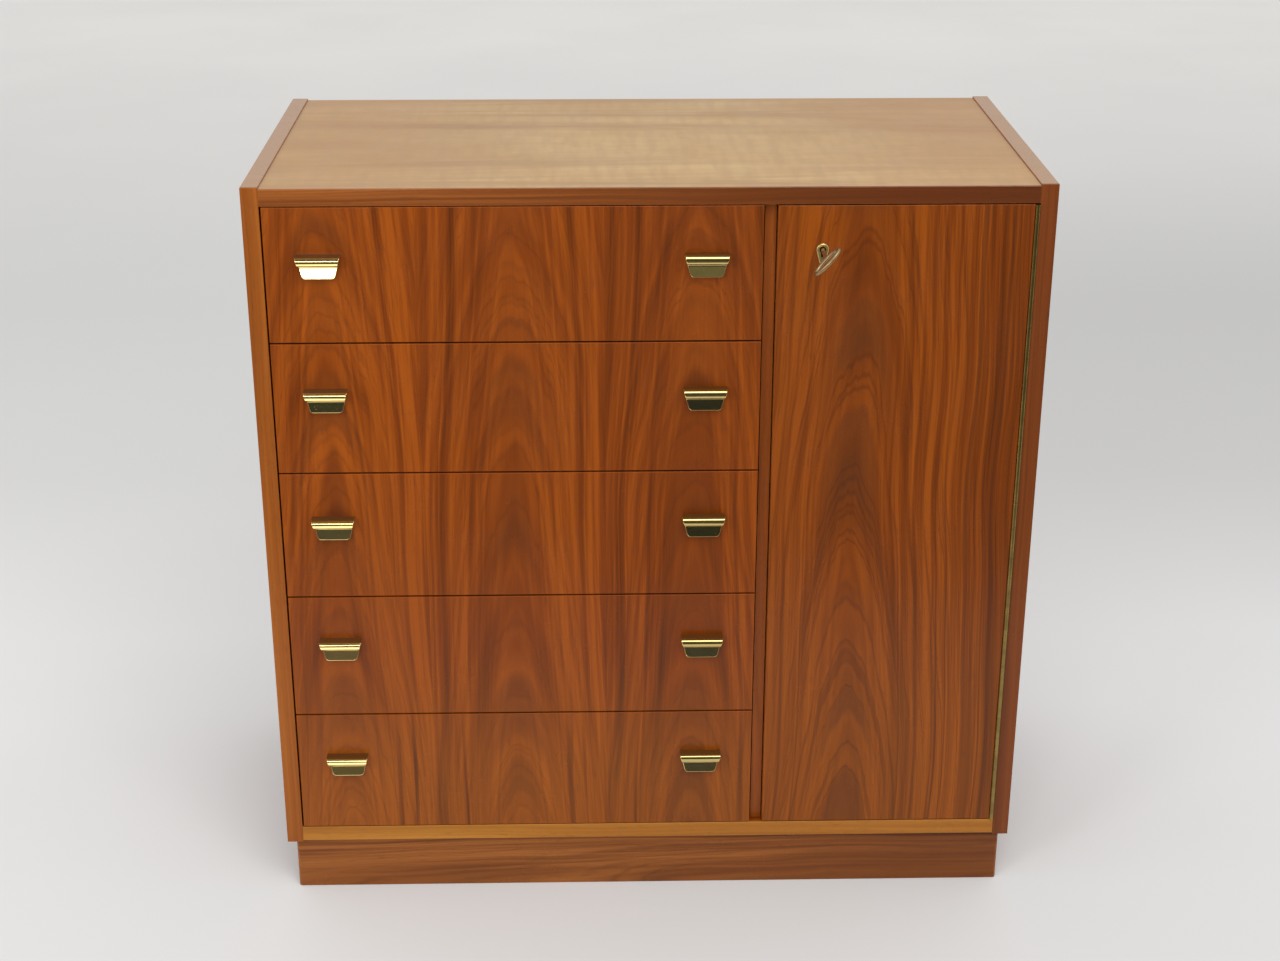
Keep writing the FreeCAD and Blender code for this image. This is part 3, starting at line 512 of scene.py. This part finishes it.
# Metals: brushed and slightly tarnished
metalDefaults = {
    "on": (),  # the nodes that wear it
    "colour": (214, 178, 96), "tarnish": (150, 116, 58), "tarnishShare": 0.25, "markSize": 0.014,
    "roughness": 0.2, "polish": 0.03, "dulling": 0.05, "brush": 0.08,
    "lineWidth": 0.00025, "lineLength": 0.012, "lineShare": 0.6, "relief": 0.04, "reliefDepth": 0.0001,
    "upperColour": (94, 56, 22), "upperShare": 0.0, "upperGloss": 0.1}  # upper faces painted dark brown and less metallic: a painted reflection of the wood above


def makeMetal(name, **changes):
    metal = {**metalDefaults, **changes}
    material, tree, shader = newMaterial(name)
    x, y, z = separate(tree, coordinates(tree, "Object"))
    lines = useGroup(tree, grainPores, Across=x, Through=y, Along=z, Width=metal["lineWidth"],
                     Length=metal["lineLength"], Share=metal["lineShare"])
    marks = useGroup(tree, handling, Vector=combine(tree, x, y, z), Size=metal["markSize"])
    edges = useGroup(tree, arris, Normal=coordinates(tree, "Normal"))
    colour = mixColour(tree, calc(tree, "MULTIPLY", marks["Dull"], metal["tarnishShare"]),
                       srgb(*metal["colour"]), srgb(*metal["tarnish"]))
    # upper faces painted dark brown and made less metallic, a painted reflection of the wood above
    paintedReflection = calc(tree, "MULTIPLY", edges["Up"], metal["upperShare"])
    colour = mixColour(tree, paintedReflection, colour, srgb(*metal["upperColour"]))
    tree.links.new(colour, shader.inputs["Base Color"])
    feed(tree, shader.inputs["Metallic"], calc(tree, "SUBTRACT", 1.0, paintedReflection))
    shader.inputs["Specular IOR Level"].default_value = metal["upperGloss"]
    cleanest = metal["roughness"] - metal["polish"]
    rough = calc(tree, "MULTIPLY_ADD", marks["Dull"], metal["dulling"], cleanest)
    rough = calc(tree, "MULTIPLY_ADD", lines["Pore"], metal["brush"], rough)
    tree.links.new(rough, shader.inputs["Roughness"])
    bump(tree, shader, lines["Fibre"], metal["relief"], metal["reliefDepth"])
    dress(material, metal["on"])
    return material


fittingMetals = {
    "pullBrass": {
        "on": drawerParts("_pulls"), "colour": (224, 202, 134), "tarnish": (200, 176, 108),
        "tarnishShare": 0.3, "roughness": 0.1, "dulling": 0.01, "brush": 0.01, "relief": 0.008,
        # the pulls' upper faces carry the painted reflection
        "upperShare": 1.0},
    "hingeBrass": {
        "on": ["hinge_case_leaf", "hinge_door_leaf", "hinge_pin"], "colour": (158, 136, 80),
        "tarnish": (112, 92, 52), "tarnishShare": 0.5, "roughness": 0.3},
    "fittingBrass": {"on": ["lock_strike", "lock_bolt", "shelf_pegs"], "colour": (222, 186, 104)},
    "escutcheonBrass": {
        "on": ["keyhole_escutcheon"], "colour": (246, 220, 148), "tarnish": (210, 178, 104),
        "roughness": 0.34},
    "lockSteel": {
        "on": ["lock_case"], "colour": (168, 164, 156), "tarnish": (120, 112, 100), "roughness": 0.36},
    "keyNickel": {
        "on": ["key"], "colour": (190, 164, 122), "tarnish": (134, 104, 66), "tarnishShare": 0.5,
        "roughness": 0.42}}
for name, values in fittingMetals.items():
    makeMetal(name, **values)
print("metals: pulls, hinge, fittings, lock, key")


# Slotted screw heads, set on the vertices of a host mesh and turned to its facing attribute
screwShape = {"sides": 24, "topShare": 0.82, "slotReach": 3.0,  # top and slot are in radii
              "slotLift": 0.85}  # in heights of the head
screwInputs = (("Places", "Geometry", None), ("Radius", "Float", 0.003), ("Height", "Float", 0.0005),
               ("Slot", "Float", 0.0008), ("Seed", "Int", 1), ("Metal", "Material", None))


def makeScrewTree():
    tree = bpy.data.node_groups.new("slottedScrews", "GeometryNodeTree")
    for title, kind, value in screwInputs:
        socket = tree.interface.new_socket(name=title, in_out="INPUT", socket_type="NodeSocket" + kind)
        if value is not None:
            socket.default_value = value
    tree.interface.new_socket(name="Screws", in_out="OUTPUT", socket_type="NodeSocketGeometry")
    start = tree.nodes.new("NodeGroupInput").outputs
    end = tree.nodes.new("NodeGroupOutput").inputs

    def node(kind, settings=None, **values):
        made = tree.nodes.new(kind)
        for name, value in (settings or {}).items():
            setattr(made, name, value)
        for name, value in values.items():
            feed(tree, made.inputs[name.replace("_", " ")], value)
        return made.outputs

    radius, height = start["Radius"], start["Height"]
    head = node("GeometryNodeMeshCone", Vertices=screwShape["sides"], Radius_Bottom=radius, Depth=height,
                Radius_Top=calc(tree, "MULTIPLY", radius, screwShape["topShare"]))
    slotSize = combine(tree, calc(tree, "MULTIPLY", radius, screwShape["slotReach"]), start["Slot"], height)
    slotLift = combine(tree, 0.0, 0.0, calc(tree, "MULTIPLY", height, screwShape["slotLift"]))
    block = node("GeometryNodeMeshCube", Size=slotSize)
    lifted = node("GeometryNodeTransform", Geometry=block[0], Translation=slotLift)
    slotted = node("GeometryNodeMeshBoolean", {"operation": "DIFFERENCE"}, Mesh_1=head[0], Mesh_2=lifted[0])
    facing = node("GeometryNodeInputNamedAttribute", {"data_type": "FLOAT_VECTOR"}, Name="facing")
    turn = node("FunctionNodeAlignRotationToVector", {"axis": "Z"}, Vector=facing[0])
    spin = tree.nodes.new("FunctionNodeRandomValue")
    spin.data_type = "FLOAT"
    spin.inputs[2].default_value, spin.inputs[3].default_value = 0.0, math.pi  # least and most turn
    feed(tree, spin.inputs["Seed"], start["Seed"])
    twist = node("FunctionNodeAxisAngleToRotation", Axis=(0.0, 0.0, 1.0), Angle=spin.outputs[1])
    turn = node("FunctionNodeRotateRotation", {"rotation_space": "LOCAL"}, Rotation=turn[0],
                Rotate_By=twist[0])
    placed = node("GeometryNodeInstanceOnPoints", Points=start["Places"], Instance=slotted[0],
                  Rotation=turn[0])
    solid = node("GeometryNodeRealizeInstances", Geometry=placed[0])
    painted = node("GeometryNodeSetMaterial", Geometry=solid[0], Material=start["Metal"])
    tree.links.new(painted[0], end[0])
    return tree


screwTree = makeScrewTree()


def addScrews(name, body, slotName, facing, places, **sizes):
    mesh = bpy.data.meshes.new(name + "Places")
    mesh.from_pydata(places, [], [])
    directions = mesh.attributes.new("facing", "FLOAT_VECTOR", "POINT")
    directions.data.foreach_set("vector", list(facing) * len(places))
    host = addObject(name + "Host", mesh)
    modifier = host.modifiers.new("screws", "NODES")
    modifier.node_group = screwTree
    sockets = {item.name: item.identifier for item in screwTree.interface.items_tree
               if item.in_out == "INPUT"}
    for title, value in sizes.items():
        modifier[sockets[title]] = value
    shape = bpy.data.meshes.new_from_object(host.evaluated_get(bpy.context.evaluated_depsgraph_get()))
    host.modifiers.remove(modifier)
    bpy.data.objects.remove(host)
    screws = addObject(name, shape)
    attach(screws, body)


def spread(low, high, count):
    return [low + (high - low) * step / (count - 1) for step in range(count)]


# Hinge, strike and lock screws; heads stay below half a millimetre where pieces pass each other
fittingScrews = {
    "hingeRadius": 0.0027, "hingeCount": 8, "hingeEnd": 0.045, "hingeInset": 0.0056,
    "leafSheet": 0.0009, "stagger": 0.03,  # the door's screws sit between the case's
    "strikeRadius": 0.0021, "strikeInset": 0.0042, "lockRadius": 0.0024, "lockInset": 0.0052,
    "flatHeight": 0.0004, "lockHeight": 0.0006, "slot": 0.0007}
brassScrew = makeMetal("brassScrew", colour=(206, 178, 104), roughness=0.3)
steelScrew = makeMetal("steelScrew", colour=(170, 166, 158), tarnish=(116, 106, 92), roughness=0.34)
flatBrass = {"Height": fittingScrews["flatHeight"], "Slot": fittingScrews["slot"], "Metal": brassScrew}
caseLeaf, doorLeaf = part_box("hinge_case_leaf"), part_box("hinge_door_leaf")
hingeHeights = spread(caseLeaf[0].z + fittingScrews["hingeEnd"], caseLeaf[1].z - fittingScrews["hingeEnd"],
                      fittingScrews["hingeCount"])
hingeLine = caseLeaf[1].y - fittingScrews["hingeInset"]
caseFace = caseLeaf[1].x - fittingScrews["leafSheet"]
addScrews("caseHingeScrews", "case", "brass", (-1, 0, 0), [(caseFace, hingeLine, z) for z in hingeHeights],
          Radius=fittingScrews["hingeRadius"], Seed=3, **flatBrass)
doorFace = doorLeaf[0].x + fittingScrews["leafSheet"]
addScrews("doorHingeScrews", "door", "brass", (1, 0, 0),
          [(doorFace, hingeLine, z + fittingScrews["stagger"]) for z in hingeHeights[:-1]],
          Radius=fittingScrews["hingeRadius"], Seed=5, **flatBrass)
strikeLow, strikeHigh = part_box("lock_strike")
inset = fittingScrews["strikeInset"]
addScrews("strikeScrews", "case", "brass", (1, 0, 0),
          [(strikeHigh.x, (strikeLow.y + strikeHigh.y) / 2, z)
           for z in (strikeLow.z + inset, strikeHigh.z - inset)],
          Radius=fittingScrews["strikeRadius"], Seed=7, **flatBrass)
lockLow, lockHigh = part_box("lock_case")
inset = fittingScrews["lockInset"]
addScrews("lockScrews", "door", "lock_steel", (0, 1, 0),
          [(x, lockHigh.y, z) for x in (lockLow.x + inset, lockHigh.x - inset)
           for z in (lockLow.z + inset, lockHigh.z - inset)],
          Radius=fittingScrews["lockRadius"], Height=fittingScrews["lockHeight"], Slot=fittingScrews["slot"],
          Seed=9, Metal=steelScrew)

# Screws round the back panel and up the divider
boardScrews = {"radius": 0.0031, "height": 0.0007, "slot": 0.0008, "inset": 0.0046, "along": 8, "up": 7}
backLow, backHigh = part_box("back_panel")
dividerLow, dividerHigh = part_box("centre_divider")
left, right = backLow.x + boardScrews["inset"], backHigh.x - boardScrews["inset"]
foot, head = backLow.z + boardScrews["inset"], backHigh.z - boardScrews["inset"]
columns = (left, (dividerLow.x + dividerHigh.x) / 2, right)
backPlaces = [(x, backHigh.y, z) for x in spread(left, right, boardScrews["along"]) for z in (foot, head)]
backPlaces += [(x, backHigh.y, z) for x in columns for z in spread(foot, head, boardScrews["up"])[1:-1]]
addScrews("backScrews", "case", "lock_steel", (0, 1, 0), backPlaces, Radius=boardScrews["radius"],
          Height=boardScrews["height"], Slot=boardScrews["slot"], Seed=11, Metal=steelScrew)

# Pull screws: two behind each pull, on the inside of the drawer front
pullScrews = {"radius": 0.0036, "height": 0.0016, "slot": 0.0009, "apart": 0.024, "fromEdge": 0.026,
              "firstSeed": 20}
for number, body in enumerate(drawerNames):
    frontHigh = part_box(body + "_front")[1]
    pullLow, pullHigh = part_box(body + "_pulls")
    middles = (pullLow.x + pullScrews["fromEdge"], pullHigh.x - pullScrews["fromEdge"])
    places = [(x + side * pullScrews["apart"] / 2, frontHigh.y, (pullLow.z + pullHigh.z) / 2)
              for x in middles for side in (-1, 1)]
    addScrews(body + "_pullScrews", body, "lock_steel", (0, 1, 0), places, Radius=pullScrews["radius"],
              Height=pullScrews["height"], Slot=pullScrews["slot"], Seed=pullScrews["firstSeed"] + number,
              Metal=steelScrew)
print("screws: hinge, strike, lock, back, pulls")


# Stage: pale floor, soft studio light, and cards that only reflections see
def addQuad(name, corners):
    mesh = bpy.data.meshes.new(name)
    mesh.from_pydata(corners, [], [(0, 1, 2, 3)])
    return addObject(name, mesh)


floorValues = {
    "halfSize": 30.0, "drop": 0.0005, "roughness": 0.7, "gloss": 0.1,
    "start": -0.5, "reach": 6.0,  # the tones run back from here, places as shares of the reach; their lighter and darker bands are partly painted light and shade
    "tones": [(0.0, (222, 222, 221)), (0.17, (237, 237, 237)), (0.28, (226, 226, 225)),
              (0.45, (224, 224, 222)), (1.0, (250, 248, 245))],
    "shade": (196, 195, 193), "shadeShare": 0.42,  # a soft shade behind the chest, at the right
    "shadeNear": (0.0, 1.3), "shadeFar": (3.8, 2.0), "shadeRight": (-0.4, 0.9),
    "mottle": (216, 215, 214), "mottleShare": 0.12, "mottleScale": 1.4, "mottleCut": (0.3, 0.7)}


def makeFloor():
    half = floorValues["halfSize"]
    floor = addQuad("floor", [(-half, -half, 0), (half, -half, 0), (half, half, 0), (-half, half, 0)])
    floor.location.z = -floorValues["drop"]
    material, tree, shader = newMaterial("paleFloor")
    spot = separate(tree, coordinates(tree, "Object"))
    back = calc(tree, "SUBTRACT", spot["Y"], floorValues["start"])
    grey = ramp(tree, calc(tree, "DIVIDE", back, floorValues["reach"]), floorValues["tones"])
    behind = calc(tree, "MULTIPLY", fit(tree, spot["Y"], *floorValues["shadeNear"]),
                  fit(tree, spot["Y"], *floorValues["shadeFar"]))
    atRight = fit(tree, spot["X"], *floorValues["shadeRight"], 0.0, floorValues["shadeShare"])
    grey = mixColour(tree, calc(tree, "MULTIPLY", behind, atRight), grey, srgb(*floorValues["shade"]))
    grain = noise(tree, coordinates(tree, "Object"), floorValues["mottleScale"], 3)
    mottle = fit(tree, grain, *floorValues["mottleCut"], 0.0, floorValues["mottleShare"])
    grey = mixColour(tree, mottle, grey, srgb(*floorValues["mottle"]))
    tree.links.new(grey, shader.inputs["Base Color"])
    shader.inputs["Roughness"].default_value = floorValues["roughness"]
    shader.inputs["Specular IOR Level"].default_value = floorValues["gloss"]
    floor.data.materials.append(material)


skyValues = {"from": -0.2, "to": 0.9, "tones": [(0.0, (236, 235, 234)), (1.0, (244, 244, 244))],
             "strength": 0.84}


def makeWorld():
    world = bpy.data.worlds.new("studio")
    world.use_nodes = True
    tree = world.node_tree
    shade = tree.nodes["Background"]
    direction = separate(tree, coordinates(tree, "Generated"))
    height = fit(tree, direction["Z"], skyValues["from"], skyValues["to"])
    tree.links.new(ramp(tree, height, skyValues["tones"]), shade.inputs["Color"])
    shade.inputs["Strength"].default_value = skyValues["strength"]
    bpy.context.scene.world = world


# Painted shade and painted reflections: the unlit side of the room as cards; left and right edge, then the
# low and high edge as depth and height
roomCards = {
    "roomLeft": {
        "sides": (-4.0, -0.27), "low": (-3.4, 0.0), "high": (-2.6, 4.2),
        "tones": [(0.0, (84, 80, 70)), (0.17, (125, 122, 120)), (0.34, (124, 118, 118)), (0.5, (90, 95, 98)),
                  (0.67, (40, 44, 46)), (0.8, (140, 101, 76)), (1.0, (140, 101, 76))]},
    "roomRight": {
        "sides": (-0.27, 4.0), "low": (-3.4, 0.0), "high": (-2.6, 4.2),
        "tones": [(0.0, (84, 80, 70)), (0.17, (90, 92, 106)), (0.34, (74, 79, 83)), (0.5, (51, 52, 53)),
                  (0.67, (57, 61, 67)), (0.78, (140, 132, 106)), (1.0, (160, 150, 118))]},
    "floorFlag": {
        "sides": (-4.0, 4.0), "low": (-3.4, 0.002), "high": (-1.05, 0.002),
        "tones": [(0.0, (88, 84, 74)), (1.0, (88, 84, 74))]},
    "ceilingFlag": {
        "sides": (-4.0, -0.3), "low": (-2.6, 4.2), "high": (0.3, 4.2),
        "tones": [(0.0, (130, 94, 68)), (1.0, (130, 94, 68))]},
    "rightCard": {
        "sides": (-0.05, 0.5), "low": (-3.0, 1.43), "high": (-3.0, 1.8),
        "tones": [(0.0, (122, 123, 112)), (1.0, (122, 123, 112))]}}


def makeCard(name, sides, low, high, tones, toneHeight=2.0):
    # the tones go from the floor up to the tone height
    left, right = sides
    card = addQuad(name, [(left, *low), (right, *low), (right, *high), (left, *high)])
    for use in ("camera", "diffuse", "transmission", "volume_scatter", "shadow"):
        setattr(card, "visible_" + use, False)
    material, tree, shader = newMaterial(name)
    height = calc(tree, "DIVIDE", separate(tree, coordinates(tree, "Object"))["Z"], toneHeight)
    tree.links.new(ramp(tree, height, tones), shader.inputs["Base Color"])
    shader.inputs["Roughness"].default_value = 1.0
    shader.inputs["Specular IOR Level"].default_value = 0.0
    card.data.materials.append(material)


lamps = {
    "keyLight": {"place": (0.6, -2.5, 3.4), "target": (0, 0, 0.5), "size": (2.2, 2.0), "energy": 56},
    "leftFill": {"place": (-1.6, -2.2, 1.7), "target": (-0.4, -0.2, 0.8), "size": (0.8, 0.8), "energy": 14},
    "leftBox": {"place": (-0.75, -3.0, 1.76), "target": (-0.37, -0.2, 0.83), "size": (0.44, 0.4),
                "energy": 6},
    "floorGlow": {"place": (-0.52, -0.95, 0.004), "target": (-0.52, -0.95, 1), "size": (0.5, 1.1),
                  "energy": 2.6}}


def addLamp(name, place, target, size, energy):
    lamp = bpy.data.lights.new(name, "AREA")
    lamp.shape = "RECTANGLE"
    lamp.size, lamp.size_y = size
    lamp.energy = energy
    holder = addObject(name, lamp)
    holder.location = place
    holder.rotation_euler = (Vector(target) - Vector(place)).to_track_quat("-Z", "Y").to_euler()
    return holder


makeFloor()
makeWorld()
for name, card in roomCards.items():
    makeCard(name, **card)
holders = {name: addLamp(name, **lamp) for name, lamp in lamps.items()}
floorGlow = holders["floorGlow"]  # shows only as a reflection
for use in ("camera", "diffuse", "shadow"):
    setattr(floorGlow, "visible_" + use, False)
brassOnly = bpy.data.collections.new("brassOnly")  # the glow reaches the pulls and nothing else
for name in drawerParts("_pulls"):
    brassOnly.objects.link(nodes[name])
floorGlow.light_linking.receiver_collection = brassOnly
print("stage: floor, studio light")

# Camera at the photograph's viewing angle
view = {"lens": 58.44, "sensor": 36.0, "side": -0.0658, "distance": 2.2584, "height": 1.5057,
        "yaw": 0.0238, "pitch": 0.3961, "roll": 0.0015}


def makeCamera():
    data = bpy.data.cameras.new("photoCamera")
    data.lens = view["lens"]
    data.sensor_width = view["sensor"]
    camera = addObject("photoCamera", data)
    yaw, pitch, roll = view["yaw"], view["pitch"], view["roll"]
    ahead = Vector((math.sin(yaw) * math.cos(pitch), math.cos(yaw) * math.cos(pitch), -math.sin(pitch)))
    right = Vector((math.cos(yaw), -math.sin(yaw), 0))
    above = right.cross(ahead)
    turnedRight = math.cos(roll) * right + math.sin(roll) * above
    turnedAbove = math.cos(roll) * above - math.sin(roll) * right
    turn = Matrix((turnedRight, turnedAbove, -ahead)).transposed().to_4x4()
    place = Vector((view["side"], frontPlane - view["distance"], view["height"]))
    camera.matrix_world = Matrix.Translation(place) @ turn
    bpy.context.scene.camera = camera


makeCamera()
bpy.context.scene.view_settings.view_transform = "Standard"
